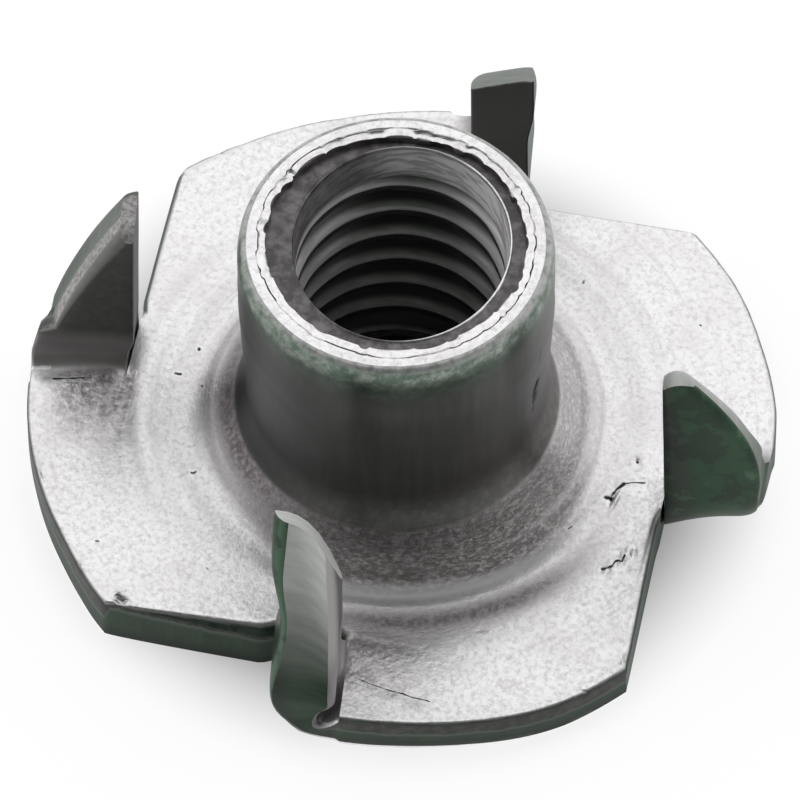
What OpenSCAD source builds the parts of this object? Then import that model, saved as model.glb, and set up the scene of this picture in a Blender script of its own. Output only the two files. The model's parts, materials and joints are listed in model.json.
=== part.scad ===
// Four-prong tee nut for an M8 machine screw, drawn and pressed from one piece of steel sheet.
// Z = 0 is the underside of the flange, and the Z axis runs through the middle of the threaded bore.

/* [Flange] */
// Diameter of the round flange
flange_d = 22; // [19:0.5:28]
// Thickness of the steel sheet
sheet = 1.7; // [1.2:0.1:2.2]
// Radius that blanking leaves on the lower edge of the rim
rim_roll = 0.5; // [0.2:0.1:0.8]

/* [Barrel] */
// Overall height, from the underside of the flange to the mouth of the barrel
barrel_h = 10.5; // [9:0.5:14]
// Diameter of the barrel at its neck, above the root fillet
neck_d = 9; // [8.6:0.1:9.6]
// Diameter of the barrel at its mouth
mouth_d = 9.3; // [9.1:0.1:9.9]
// Radius of the shoulder round the mouth
mouth_round = 0.45; // [0.3:0.05:0.8]
// Height of the straight land below that shoulder
mouth_land = 2; // [1:0.25:3]
// Radius of the drawn fillet between the barrel and the flange
root_fillet = 2; // [1:0.1:2.5]

/* [Bore] */
// Diameter of the bore, across the crests of the thread
bore_d = 6.65; // [6.4:0.05:7]
// Diameter of the lip where the lead-in of the thread ends
lip_d = 6.9; // [6.8:0.05:7.1]
// Height of that lead-in, which widens from the bore to the lip
lead_in = 0.95; // [0.5:0.05:1.2]
// Diameter of the ledge that is sunk into the mouth round the lip
ledge_d = 7.8; // [7.4:0.1:8.1]
// Depth of the ledge
ledge_depth = 0.33; // [0.1:0.01:0.6]
// Radius of the drawn entry on the underside
entry_round = 1.2; // [0.5:0.1:1.5]

/* [Prongs] */
// Width of the strip of flange that each prong is cut from
prong_w = 2.8; // [2.2:0.1:3.4]
// Height of the prong tips above the underside of the flange
prong_h = 8.1; // [6:0.1:9]
// Width of the blunt tip
tip_w = 0.45; // [0.3:0.05:1]
// Radius that rolls the tip over towards its own lobe of the flange
tip_round = 1.4; // [0.6:0.1:1.5]
// Inner radius of the fold
bend_r = 0.8; // [0.3:0.1:1.2]
// Outer radius of the fold, which the die presses closer to square than a free bend
fold_round = 1.4; // [1:0.1:2]
// How far the inner face of each prong stands past the centre line
prong_offset = 0.15; // [-0.5:0.05:0.8]
// Radius of the curved outer edge of a prong
edge_curve = 35; // [20:1:60]
// Step in the outer edge just above the fold
edge_step = 0.2; // [0.1:0.05:0.5]
// Rounding along the curved edge on the outer face
edge_roll_out = 0.4; // [0.1:0.1:0.6]
// Rounding along the curved edge on the inner face
edge_roll_in = 0.3; // [0.1:0.1:0.6]
// Gap that the shear leaves between a prong and the flange
slit = 0.1; // [0.05:0.05:0.3]
// Rounding of the upper edge of each straight cut
cut_roll = 0.3; // [0.1:0.1:0.6]

/* [Hidden] */
$fn = 96;
prong_count = 4;
past = 1;                                   // overshoot of the cutting shapes
fold_root = 0.5;                            // how far a fold reaches back into the flange that it grows from

rim_r = flange_d / 2;
neck_r = neck_d / 2;
mouth_r = mouth_d / 2;
bore_r = bore_d / 2;
lip_r = lip_d / 2;
ledge_r = ledge_d / 2;
ledge_z = barrel_h - ledge_depth;

cut_x = rim_r - prong_w;                    // centre to each straight cut
prong_x = cut_x + slit;                     // centre to the straight inner edge of a prong
fold_y = prong_offset - bend_r;             // line where the sheet starts to fold up
fold_z = sheet + bend_r;                    // height where the fold ends and the prong runs straight
fold_reach = sheet + bend_r;                // start of the fold to the outer face of the prong

// The curved outer edge of a prong runs through these two points, as distance from centre and height
edge_foot = [rim_r - edge_step, fold_z];
edge_tip = [prong_x + tip_w, prong_h];
edge_mid = (edge_foot + edge_tip) / 2;
edge_run = edge_tip - edge_foot;
edge_half = norm(edge_run) / 2;
edge_back = sqrt(edge_curve * edge_curve - edge_half * edge_half);
edge_centre = edge_mid - edge_back * [edge_run.y, -edge_run.x] / norm(edge_run);

// Waste left when a corner of a section is rounded, with the corner at the origin and the material at +X +Y
module corner_waste(r) {
    difference() {
        translate([-past, -past])
            square(r + past);
        translate([r, r])
            circle(r);
    }
}

// Fillet in an inside corner, with the corner at the origin
module corner_fillet(r) {
    difference() {
        square(r);
        translate([r, r])
            circle(r);
    }
}

// Half section of the round blank: flange, root fillet, flared barrel, mouth, bore and drawn entry
module blank_section() {
    difference() {
        union() {
            square([rim_r, sheet]);
            polygon([
                [0, 0],
                [neck_r, 0],
                [neck_r, sheet + root_fillet],
                [mouth_r, barrel_h - mouth_round - mouth_land],
                [mouth_r, barrel_h],
                [0, barrel_h]
            ]);
            translate([neck_r, sheet])
                corner_fillet(root_fillet);
        }
        translate([rim_r, 0])
            mirror([1, 0])
                corner_waste(rim_roll);
        translate([mouth_r, barrel_h])
            mirror([1, 0])
                mirror([0, 1])
                    corner_waste(mouth_round);
        polygon([
            [0, -past],
            [bore_r, -past],
            [bore_r, ledge_z - lead_in],
            [lip_r, ledge_z],
            [ledge_r, ledge_z],
            [ledge_r, barrel_h + past],
            [0, barrel_h + past]
        ]);
        translate([bore_r, 0])
            corner_waste(entry_round);
    }
}

// What the shear takes out of the blank beyond one straight cut, with the rounded upper edge of the cut
module cut_waste() {
    translate([0, rim_r + past, 0])
        rotate([90, 0, 0])
            linear_extrude(rim_r + past - fold_y)
                union() {
                    translate([-rim_r - past, -past])
                        square([rim_r + past - cut_x, sheet + 2 * past]);
                    translate([-cut_x, sheet])
                        mirror([0, 1])
                            corner_waste(cut_roll);
                }
}

// The fold at the foot of a prong, seen along its line: a rounded corner outside and a quarter circle inside
module fold_section() {
    difference() {
        union() {
            translate([0, -fold_reach])
                square(fold_reach);
            translate([-fold_root, -fold_reach])
                square([2 * fold_root, sheet]);
        }
        circle(bend_r);
        translate([fold_reach, -fold_reach])
            mirror([1, 0])
                corner_waste(fold_round);
    }
}

// The fold, ended by the rim of the blank
module fold() {
    intersection() {
        translate([-rim_r - past, fold_y, fold_z])
            rotate([90, 0, 90])
                linear_extrude(rim_r + past - prong_x)
                    fold_section();
        rotate_extrude()
            difference() {
                square([rim_r, fold_z + past]);
                translate([rim_r, 0])
                    mirror([1, 0])
                        corner_waste(rim_roll);
            }
    }
}

// The straight part of a prong: a blade with one straight edge and one curved edge, rounded on both faces
module blade() {
    difference() {
        intersection() {
            translate([-edge_centre.x, prong_offset, edge_centre.y])
                rotate([-90, 0, 0])
                    rotate_extrude()
                        difference() {
                            square([edge_curve, sheet]);
                            translate([edge_curve, 0])
                                mirror([1, 0])
                                    corner_waste(edge_roll_in);
                            translate([edge_curve, sheet])
                                mirror([1, 0])
                                    mirror([0, 1])
                                        corner_waste(edge_roll_out);
                        }
            translate([-rim_r, prong_offset - past, fold_z])
                cube([rim_r - prong_x, sheet + 2 * past, prong_h - fold_z]);
        }
        translate([-rim_r - past, prong_offset, prong_h])
            rotate([90, 0, 90])
                linear_extrude(rim_r + past)
                    mirror([0, 1])
                        corner_waste(tip_round);
    }
}

module prong() {
    fold();
    blade();
}

module tee_nut() {
    color([0.76, 0.75, 0.75])
        union() {
            difference() {
                rotate_extrude()
                    blank_section();
                for (i = [0 : prong_count - 1])
                    rotate([0, 0, i * 360 / prong_count])
                        cut_waste();
            }
            for (i = [0 : prong_count - 1])
                rotate([0, 0, i * 360 / prong_count])
                    prong();
        }
}

tee_nut();
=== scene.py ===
# %% [markdown]
# # A four-prong tee nut in pressed steel
#
# A tee nut is one piece of sheet steel. A press blanks a round disc, draws a barrel up out of its middle,
# taps a thread in the barrel, and shears and folds four prongs up out of the rim. It could be made from a
# cylinder, a disc and four wedges joined with booleans, but the real one has no such seams: the sheet runs
# on from flange to fold to prong. So this lesson works the whole skin out as numpy grids that meet point for
# point, and joins them into one closed mesh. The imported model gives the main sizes, so the look stays on the
# part that was checked.

import json

import bmesh
import bpy
import numpy as np
from mathutils import Matrix, Vector


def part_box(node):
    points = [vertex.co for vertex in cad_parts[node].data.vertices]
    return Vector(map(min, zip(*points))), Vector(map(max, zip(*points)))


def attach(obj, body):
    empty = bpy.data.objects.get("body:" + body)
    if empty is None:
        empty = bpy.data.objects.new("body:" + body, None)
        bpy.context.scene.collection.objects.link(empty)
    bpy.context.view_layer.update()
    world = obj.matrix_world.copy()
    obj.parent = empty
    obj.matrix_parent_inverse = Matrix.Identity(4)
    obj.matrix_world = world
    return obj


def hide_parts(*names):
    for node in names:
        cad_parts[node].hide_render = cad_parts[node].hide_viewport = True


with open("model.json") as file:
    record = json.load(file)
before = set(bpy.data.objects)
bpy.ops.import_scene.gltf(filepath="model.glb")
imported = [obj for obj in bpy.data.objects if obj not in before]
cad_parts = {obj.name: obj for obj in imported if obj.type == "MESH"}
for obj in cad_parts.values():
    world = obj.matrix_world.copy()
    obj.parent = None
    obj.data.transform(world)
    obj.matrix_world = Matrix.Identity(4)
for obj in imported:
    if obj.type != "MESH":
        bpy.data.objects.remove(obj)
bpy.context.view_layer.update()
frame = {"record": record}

MM = 0.001                                  # the shapes below are worked out in millimetres
MOUNTS = {mount["name"]: mount for mount in frame["record"]["mounts"]}
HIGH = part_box("tee_nut")[1]                 # its corner with the greatest x, y and z
RIM_R = HIGH.x / MM                         # round flange
HEIGHT = HIGH.z / MM                        # mouth of the barrel
SHEET = MOUNTS["seat"]["pos_m"][2] / MM     # thickness of the steel
CREST_R = MOUNTS["thread"]["dims"]["r_mm"]  # bore across the crests of the thread
LAND_R = MOUNTS["barrel"]["dims"]["r_mm"]   # widest part of the barrel
print(f"flange {2 * RIM_R:.1f} mm across, {HEIGHT:.1f} mm high, sheet {SHEET:.1f} mm")
print(f"bore {2 * CREST_R:.2f} mm across the crests of the thread")

# %% [markdown]
# ## Numpy helpers
#
# Three small functions shape nearly everything. `ease` turns a hard start into a soft one. `quarter_drop`
# is a rounded edge: press tools leave a quarter of an ellipse along every sheared edge. `waves` is a sum of
# sine waves in random directions, which makes the gentle unevenness of pressed sheet, and is the same each
# run because it is seeded. A fourth, `turned`, brings what is worked out for one quarter round to the others.

# %% Helpers for shapes
def ease(x):
    """0 below 0, 1 above 1, and 3x^2 - 2x^3 between."""
    x = np.clip(x, 0, 1)
    return x * x * (3 - 2 * x)


def quarter_drop(d, width, depth):
    """Drop of a rounded edge at distance d from it: a quarter ellipse, depth at the edge and nothing past
    width."""
    u = 1 - np.clip(d / width, 0, 1)
    return depth * (1 - np.sqrt(1 - u * u))


def waves(points, length, seed, count=14):
    """Smooth unevenness from -1 to 1: the mean of sine waves of about that length in random directions."""
    rng = np.random.default_rng(seed)
    way = rng.normal(size=(count, points.shape[-1]))
    way *= (rng.uniform(0.6, 1.4, count) / length / np.linalg.norm(way, axis=1))[:, None]
    phase = rng.uniform(0, 2 * np.pi, count)
    return np.sin(2 * np.pi * points @ way.T + phase).mean(axis=-1) * np.sqrt(count) / 2


def turned(points, quarter_turns):
    """Points turned about the Z axis by whole quarter turns."""
    c, s = np.round([np.cos(quarter_turns * np.pi / 2), np.sin(quarter_turns * np.pi / 2)])
    x, y, z = points[..., 0], points[..., 1], points[..., 2]
    return np.stack([c * x - s * y, s * x + c * y, z], axis=-1)


# %% [markdown]
# ## The plan of the blank
#
# Each quarter of the flange has a straight cut, where the shear parted the prong beside it, a short stretch
# of rim, and the chord behind which the next prong's tongue begins. All four quarters share the same plan,
# but the folds of the real prongs lie a little differently, so each prong has its own offset, height and
# tip.

# %% Driving sizes of the flange and prongs, in millimetres
# Four values go with the left, front, right and back prong, a quarter turn apart, or with the cut beside each
CUT_X = 8.25                # middle of the nut to each straight cut
# Width and drop of the upper edge of each cut where folding pulled it down, beside its prong
CUT_ROLL = ((0.19, 0.30), (0.46, 0.52), (0.12, 0.14), (0.11, 0.12))
RIM_BURR = (0.10, 0.09)     # width and drop of the upper edge of the rim
RIM_ROLL = (0.9, 0.5)       # width and drop that blanking leaves on the lower edge of the rim
SLIT = 0.08                 # gap that the shear leaves between a prong and the flange
TWIST = np.radians(7)       # how far a prong turns about its straight edge
LEAN = 0.13                 # how far a tip leans in towards the barrel
SEAM_R = 7.0                # circle where the flange rows meet the barrel rows
THIN_END = 0.40             # how much thinner the front lobe is at the end of its rim

# The blank isn't quite round: angle in degrees, and how far its rim stands out from the circle
RIM_SHAPE = ((-90, 0.0), (-68, 0.02), (-52, 0.13), (-42, 0.10), (0, 0.20), (12, 0.20), (24, 0.06),
             (42, 0.06), (70, 0.03), (84, 0.10), (92, 0.08), (110, -0.08), (130, -0.09), (170, 0.12),
             (184, 0.14), (192, 0.10), (202, 0.0), (222, -0.14))
CUT_SHIFT = (0.10, 0.21, -0.03, -0.09)   # how far outward of its place each straight cut was sheared

# Inner radius of a fold, at its slit and at the rim, and how much squarer than round its outside is there
BEND_R = ((0.6, 0.95), (0.25, 0.15), (0.6, 0.95), (0.6, 0.9))
SQUARE = ((2.0, 0.5), (1.2, 1.0), (2.0, 0.2), (2.0, 0.5))
PRONG_OFFSET = (0.10, 0.05, 0.18, 0.52)     # how far its inner face stands past the centre line
PRONG_H = (8.25, 7.9, 8.3, 8.1)     # height of its tip
TIP_W = (0.42, 0.38, 0.95, 0.5)     # width of its tip
TIP_DOME = (0.0, 0.0, 0.3, 0.0)     # how far the tip falls towards both of its sides
# Fall of the tip from the outer to the inner face: width, drop and power
TIP_FALL = ((0.5, 0.25, 2.0), (1.6, 3.1, 2.6), (1.7, 3.0, 2.6), (1.7, 0.75, 1.1))
BULGE = (0.27, 0.36, 0.78, 0.4)     # how far the curved edge stands out from a straight line
TAPER = (0.0, 0.0, 0.3, 0.0)        # how much narrower the inner face is than the outer one
FLARE = (0.05, 0.32, 0.05, 0.20)    # how far the outer face stands proud near the tip
SWELL = (0.0, 0.28, 0.0, 0.02)      # and just above the fold
FOOT_STEP = (0.10, 0.20, 0.20, 0.20)    # how far the curved edge steps in, above its fold or halfway round it
FOOT_OUT = (0.2, 0.0, 0.0, 0.0)     # how much further out the inner face reaches below that step
# Turn of the fold where the step comes, on the outer and the inner face. The blade counts on, as 5 turns more
STEP_AT = ((0.5, 1.5), (0.5, 0.5), (0.5, 0.5), (0.5, 0.5))
GROOVE = (0.10, 0.85, 0.08, 0.10)   # depth of the groove where the inside of a fold tore at the rim
TORN = (0.42, -0.3, -0.3, -0.3)     # share of the curved edge that tore in place of shearing, below 0 for none
TIP_TORN = (0.92, -0.3, -0.3, -0.3)     # and of the tip
PAINTED_EDGE_LIGHT = (0.15, 1.0, 0.55, 0.35)      # how much the curved edge is painted paler towards the tip, as painted light

CUT_END = np.sqrt(RIM_R ** 2 - CUT_X ** 2)
FOLD_Y = [offset - bend[0] for offset, bend in zip(PRONG_OFFSET, BEND_R)]
print(f"straight cuts run {CUT_END - FOLD_Y[0]:.1f} mm to the rim")

# %% [markdown]
# ## Surface of the sheet
#
# The upper face isn't flat. Drawing the barrel leaves rings round its foot, folding a prong lifts the sheet
# before it, and handling leaves pits and gouges. All of that is one height function of the place on the
# flange, so every grid that covers the flange agrees on it. A bump map could draw the small marks, but the
# larger ones catch light on their slopes, so they are in the mesh.

# %% Rings, lifts and marks on the upper face, in millimetres and degrees
# Rings from drawing: radius, half width, height, and the middle and spread of the angle where they show
RINGS = ((6.92, 0.50, 0.13, -66, 70), (5.80, 0.13, 0.035, -82, 50), (6.30, 0.14, 0.030, -80, 48),
         (7.95, 0.35, 0.030, 185, 60), (7.45, 0.25, 0.025, 35, 65), (5.70, 0.10, 0.025, 20, 60),
         (6.10, 0.10, 0.020, 5, 50), (5.60, 0.12, 0.025, 190, 50))
LIFT = (0.26, 0.12, 0.2, 0.2)   # how far folding lifts the sheet before each prong
LIFT_RUN = 2.9                  # and how far before the fold that starts
# Pits as x, y, half width and depth, then gouges and creases as routes of places
PITS = ((-6.40, 1.07, 0.09, 0.07), (-6.73, 0.07, 0.08, 0.07), (-5.57, -3.30, 0.10, 0.07),
        (7.25, -0.35, 0.10, 0.08), (8.18, 4.87, 0.08, 0.06), (-6.48, 5.58, 0.10, 0.06),
        (3.88, -7.08, 0.07, 0.05), (6.40, 1.20, 0.06, 0.04), (6.72, -1.86, 0.11, 0.08),
        (-6.75, -8.05, 0.14, 0.16), (8.08, -6.97, 0.10, 0.10), (-9.95, -4.20, 0.12, 0.10))
GOUGES = (((6.72, -1.90), (6.86, -1.40), (7.13, -1.18), (7.65, -1.05)),
          ((7.05, -4.30), (7.22, -4.03), (7.47, -3.88)), ((7.47, -3.88), (7.66, -3.52)))
GOUGE_WIDTH, GOUGE_DEPTH = 0.10, 0.05
CREASES = (((0.10, -9.50), (1.47, -9.52), (2.00, -9.66), (2.60, -9.90)),
           ((-10.9, -0.50), (-10.2, -0.25), (-9.40, -0.34)))
CREASE_WIDTH, CREASE_DEPTH = 0.13, 0.055


# %% Height of the upper and lower faces
def rim_distance(x, y):
    """Distance inward from the rim."""
    return RIM_R - np.hypot(x, y)


def prong_frame(x, y, k):
    """The same place, turned back into the frame of the left prong."""
    c, s = np.round([np.cos(k * np.pi / 2), np.sin(k * np.pi / 2)])
    return c * x + s * y, -s * x + c * y


def cut_drop(x, y):
    """Drop of the rolled edge along the straight cuts. The one beside the front prong is deepest at the
    prong and shallow near the rim, and the others start clear of their prong and stay even."""
    drop = np.zeros(np.shape(x))
    for k in range(4):
        u, v = prong_frame(x, y, k)
        left = 1 - np.clip((v - FOLD_Y[k]) / (CUT_END - FOLD_Y[k]) * 1.15, 0, 1)
        left, start = (left, FOLD_Y[k]) if k == 1 else (1.0, PRONG_OFFSET[k] + SHEET)
        width = 0.07 + (CUT_ROLL[k][0] - 0.07) * left
        depth = (0.07 + (CUT_ROLL[k][1] - 0.07) * left) * ease((v - start) / 0.5)
        drop = np.maximum(drop, depth * np.clip(1 - (u + CUT_X) / width, 0, 1) ** 1.3)
    return drop


def ring_height(x, y):
    """Sum of bell-shaped rings, each fading out away from the middle of its angle."""
    radius, angle = np.hypot(x, y), np.degrees(np.arctan2(y, x))
    total = np.zeros(np.shape(x))
    for ring_r, width, rise, middle, spread in RINGS:
        away = np.abs((angle - middle + 180) % 360 - 180) / spread
        total += rise * ease(1.3 * (1 - away)) * np.exp(-((radius - ring_r) / width) ** 2)
    return total


def lift_height(x, y):
    """Rise of the sheet just before each fold, from nothing LIFT_RUN away to full where the fold starts."""
    total = np.zeros(np.shape(x))
    for k, rise in enumerate(LIFT):
        u, v = prong_frame(x, y, k)
        before = ease((v - FOLD_Y[k]) / LIFT_RUN + 1) * (1 - ease((v - FOLD_Y[k]) / 0.6))
        total += rise * before * ease((-u - CUT_X + 0.15) / 0.5) * (1 - 0.5 * ease((-u - CUT_X) / 2.7))
    return total


def line_distance(x, y, start, end):
    """Distance from the nearest point of a straight line between two places."""
    ax, ay = end[0] - start[0], end[1] - start[1]
    share = np.clip(((x - start[0]) * ax + (y - start[1]) * ay) / (ax * ax + ay * ay), 0, 1)
    return np.hypot(x - start[0] - share * ax, y - start[1] - share * ay)


def mark_depth(x, y):
    """Depth of pits and gouges, each a bell with a faint raised lip of pushed-up steel round it."""
    total = np.zeros(np.shape(x))
    for px, py, size, depth in PITS:
        d = np.hypot(x - px, y - py) / size
        total += depth * (np.exp(-d ** 2) - 0.35 * np.exp(-((d - 1.7) / 0.5) ** 2))
    for routes, width, depth in ((GOUGES, GOUGE_WIDTH, GOUGE_DEPTH), (CREASES, CREASE_WIDTH, CREASE_DEPTH)):
        for route in routes:
            near = np.min([line_distance(x, y, *ends) for ends in zip(route[:-1], route[1:])], axis=0) / width
            total += depth * (np.exp(-near ** 2) - 0.45 * np.exp(-((near - 1.5) / 0.45) ** 2))
    return total


def unevenness(x, y):
    """All that makes the upper face depart from a plane, apart from its rolled edges."""
    flat = np.stack([x, y], axis=-1)
    return (ring_height(x, y) + lift_height(x, y) - mark_depth(x, y)
            + 0.012 * waves(flat, 3.2, 5) + 0.004 * waves(flat, 0.9, 6))


def top_z(x, y):
    """Height of the upper face at a place on the flange: the thickness and the unevenness, less the burr of
    the rim, the drop at the cuts and the thinning of the front lobe."""
    ragged = 1 + 0.6 * waves(np.stack([x, y], axis=-1), 0.6, 7)
    burr = quarter_drop(rim_distance(x, y), RIM_BURR[0], RIM_BURR[1]) * ragged
    thinned = THIN_END * ease((RIM_R - SEAM_R - rim_distance(x, y)) / 4)
    thinned = thinned * ease((x - 1.5) / 5) * ease((-y - 3) / 3)
    return SHEET + unevenness(x, y) - burr - cut_drop(x, y) - thinned


def past_fold(x, y):
    """Angle in degrees from the last fold, which is a quarter turn before the next."""
    return np.degrees(np.arctan2(y, x)) % 90


def bottom_z(x, y):
    """Height of the lower face at a place on the flange. The blanked roll of its rim fades away from the
    fold."""
    left = 1 - 0.9 * ease((past_fold(x, y) - 10) / 27)
    return left * quarter_drop(rim_distance(x, y), *RIM_ROLL)


# %% [markdown]
# ## Barrel, bore and flange as turned grids
#
# The rows run in along the underside, up the bore, over the mouth, down the outside of the barrel and out
# along the flange. The columns are radial and end on the outline of the plan, so the same columns are round
# in the middle and square at the edge. A disc could be cut to that outline with booleans, but they leave
# long thin faces, and the columns keep the mesh even.

# %% Outline that the radial columns end on
N_CUT, N_RIM, N_CHORD = 38, 8, 36      # columns that end on each cut, stretch of rim and chord


def chord_y(k):
    """Places along the chord of prong k, from the rim to its slit."""
    return np.linspace(-CUT_END, FOLD_Y[k], N_CHORD + 1)


def straight(start, end, count):
    """Points between two places, without the last."""
    return np.linspace(start, end, count, endpoint=False)


def outline():
    """Outline of the flange without its prongs, as x, y in order round it: cut, rim and chord of each
    quarter."""
    quarters = []
    for k in (0, 3, 2, 1):
        behind = (k - 1) % 4
        cut = straight((-CUT_X, FOLD_Y[k]), (-CUT_X, CUT_END), N_CUT)
        start, end = np.arctan2(CUT_END, -CUT_X), np.arctan2(CUT_X, -CUT_END)
        angle = np.linspace(start, end, N_RIM, endpoint=False)
        rim = RIM_R * np.stack([np.cos(angle), np.sin(angle)], axis=-1)
        chord = np.stack([chord_y(behind)[:-1], np.full(N_CHORD, CUT_X)], axis=-1)
        flat = np.concatenate([cut, rim, chord])
        quarters.append(turned(np.column_stack([flat, np.zeros(len(flat))]), k))
    return np.concatenate(quarters)[:, :2]


OUTLINE = outline()
ANGLE = np.arctan2(OUTLINE[:, 1], OUTLINE[:, 0])
print(f"{len(OUTLINE)} radial columns")

# %% Rows from the seam circle out to the outline
def out_rows(inner_rows, edge_rows, edge_width):
    """Radial rows from the seam to the outline, evenly spaced and then closer over the last edge_width."""
    reach = np.hypot(*OUTLINE.T) - SEAM_R
    even = np.linspace(0, 1, inner_rows, endpoint=False)[:, None] * (reach - edge_width)
    edge = reach - edge_width * (1 - np.sin(np.linspace(0, np.pi / 2, edge_rows)))[:, None]
    radius = SEAM_R + np.concatenate([even, edge])
    return radius * np.cos(ANGLE), radius * np.sin(ANGLE)


TOP_X, TOP_Y = out_rows(28, 8, CUT_ROLL[1][0])
LOW_X, LOW_Y = out_rows(5, 7, RIM_ROLL[0])
flange_top = np.stack([TOP_X, TOP_Y, top_z(TOP_X, TOP_Y)], axis=-1)
flange_low = np.stack([LOW_X, LOW_Y, bottom_z(LOW_X, LOW_Y)], axis=-1)
print(f"flange of {len(TOP_X)} rows above and {len(LOW_X)} below")

# %% [markdown]
# The barrel is drawn out of the sheet without a seam, so its section is one line, from the entry underneath
# to the fillet at its foot. The mouth is the rough end of it: a ring that was hammered flat, thin flakes
# inside the ring, a sunk ledge and a raised lip. A profile with a screw modifier would be round all the
# way. Rows of points can be moved by angle as well, which the flakes and the leaning bore need.

# %% Driving sizes of the barrel, in millimetres
NECK_R = 4.48               # barrel above its root
ROOT_R = 2.0                # drawn fillet between barrel and flange
LAND = (7.6, 9.78)          # heights between which the barrel is widest
RING = (4.11, 4.42)         # ring round the mouth, outside its crack
FLAKE_R = 3.83              # inner edge of the flakes that the crack parts from the ring
LEDGE = (3.50, 3.81)        # sunk ledge between the bore and the flakes
LEDGE_DROP = 0.33           # how far below the mouth it lies
LIP_R = 3.45                # raised lip where the lead-in of the bore ends
LEAD_IN = 9.22              # height where the lead-in starts, above the thread
ENTRY_R = 1.2               # drawn entry on the underside
PITCH = 1.25                # height that the thread climbs in one turn
THREAD_DEPTH = 0.62         # from its crest to its root
THREAD_TOP = 9.15           # height where the thread ends below the mouth
THREAD_LOW = 1.1            # and where it starts, at the entry
THREAD_START = 0.455        # turn by which the thread starts further round
BARREL_SHIFT = -0.09        # the barrel was drawn a little to the left of the blank's middle
BORE_SHIFT = (0.12, 0.04)   # and the bore leans away from it towards the mouth
BORE_SQUASH = 0.075         # and is narrower sideways there, as a share of its width
LIP_SHIFT = 0.16            # the lead-in is cut deeper on the far side


# %% Section of the barrel
def arc(centre, radii, start, end, count):
    """Points on an ellipse about centre between two angles in degrees, without the last."""
    angle = np.radians(np.linspace(start, end, count, endpoint=False))
    return np.column_stack([centre[0] + radii[0] * np.cos(angle), centre[1] + radii[1] * np.sin(angle)])


def barrel_section():
    """Stretches of the section, each a name with radius and height: in along the underside, up the bore,
    over the mouth, down the outside and out along the flange."""
    ledge_z, crack_r = HEIGHT - LEDGE_DROP, RING[0] - 0.05
    return (
        ("under", straight((SEAM_R, 0), (CREST_R + ENTRY_R, 0), 4)),
        ("entry", arc((CREST_R + ENTRY_R, ENTRY_R), (ENTRY_R, ENTRY_R), 270, 180, 7)),
        ("bore", straight((CREST_R, ENTRY_R), (CREST_R, LEAD_IN), int((LEAD_IN - ENTRY_R) / PITCH * 13))),
        ("lead_in", straight((CREST_R, LEAD_IN), (LIP_R - 0.02, ledge_z - 0.05), 14)),
        ("lip", arc((LIP_R + 0.02, ledge_z - 0.03), (0.04, 0.05), 180, 20, 5)),
        ("ledge", straight((LEDGE[0], ledge_z - 0.02), (LEDGE[1], ledge_z), 6)),
        ("inner_wall", straight((LEDGE[1], ledge_z), (FLAKE_R, HEIGHT - 0.06), 4)),
        ("flake", straight((FLAKE_R, HEIGHT - 0.03), (crack_r - 0.03, HEIGHT), 4)),
        ("crack", np.array([(crack_r - 0.02, HEIGHT - 0.02), (crack_r, HEIGHT - 0.12),
                            (crack_r + 0.02, HEIGHT - 0.03)])),
        ("ring", straight((RING[0], HEIGHT), (RING[1], HEIGHT - 0.02), 6)),
        ("shoulder", arc((RING[1], LAND[1]), (LAND_R - RING[1], HEIGHT - 0.02 - LAND[1]), 90, 0, 10)),
        ("land", straight((LAND_R, LAND[1]), (LAND_R, LAND[0]), 11)),
        ("neck", straight((LAND_R, LAND[0]), (NECK_R, SHEET + ROOT_R), 24)),
        ("root", arc((NECK_R + ROOT_R, SHEET + ROOT_R), (ROOT_R, ROOT_R), 180, 270, 22)),
        ("foot", np.array([(NECK_R + ROOT_R, SHEET), (NECK_R + ROOT_R + 0.17, SHEET),
                           (NECK_R + ROOT_R + 0.34, SHEET), (SEAM_R, SHEET)])),
    )


STRETCHES = barrel_section()
section = np.concatenate([points for _, points in STRETCHES])
stretch = np.repeat([name for name, _ in STRETCHES], [len(points) for _, points in STRETCHES])
print(f"barrel section of {len(section)} points, {(THREAD_TOP - THREAD_LOW) / PITCH:.1f} turns of thread")

# %% [markdown]
# The crack inside the ring isn't a circle: it runs from cusp to cusp, because the burr of the trimmed mouth
# folded over in flakes. So the turn is cut into stretches of random length, and each has its own bulge,
# width and height.

# %% Flakes round the mouth
FLAKES = 44


def flakes(angle):
    """For each angle: how far its crack bulges out, how far its inner edge moves, how low the flake lies,
    and how open its crack is."""
    rng = np.random.default_rng(31)
    ends = np.concatenate([[0], np.cumsum(rng.lognormal(0, 0.55, FLAKES))])
    ends = ends / ends[-1] * 2 * np.pi - np.pi
    which = np.clip(np.searchsorted(ends, angle, side="right") - 1, 0, FLAKES - 1)
    share = (angle - ends[which]) / (ends[which + 1] - ends[which])
    hump = np.sin(np.pi * share) ** 0.6
    bulge = rng.uniform(-0.01, 0.10, FLAKES)[which] * hump - 0.03
    inner = rng.uniform(-0.05, 0.08, FLAKES)[which] * (0.4 + 0.6 * hump)
    inner = inner - 0.09 * np.clip(-np.sin(angle), 0, 1)
    low = rng.uniform(-0.01, 0.07, FLAKES)[which]
    gape = np.clip(rng.uniform(-0.4, 1.3, FLAKES), 0.1, 1)[which]
    return bulge, inner, low, gape


# %% [markdown]
# A tap cuts the thread: one groove that winds round the bore, with sloping flanks. It could be a triangle
# swept along a helix and taken out of the bore with a boolean. Here each point of the bore moves outward by
# the depth of the groove at its angle and height, which leaves no seam and lets the groove fade at its
# ends. The split is a groove of the same kind in the outside of the wall, where drawing tore it.

# %% Thread
THREAD_ROOT, THREAD_FLANK = 0.06, 0.31      # half its flat root, and one flank, as shares of the pitch
THREAD_FADE = (0.35, 0.8)                   # heights over which it fades out above and below


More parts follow.
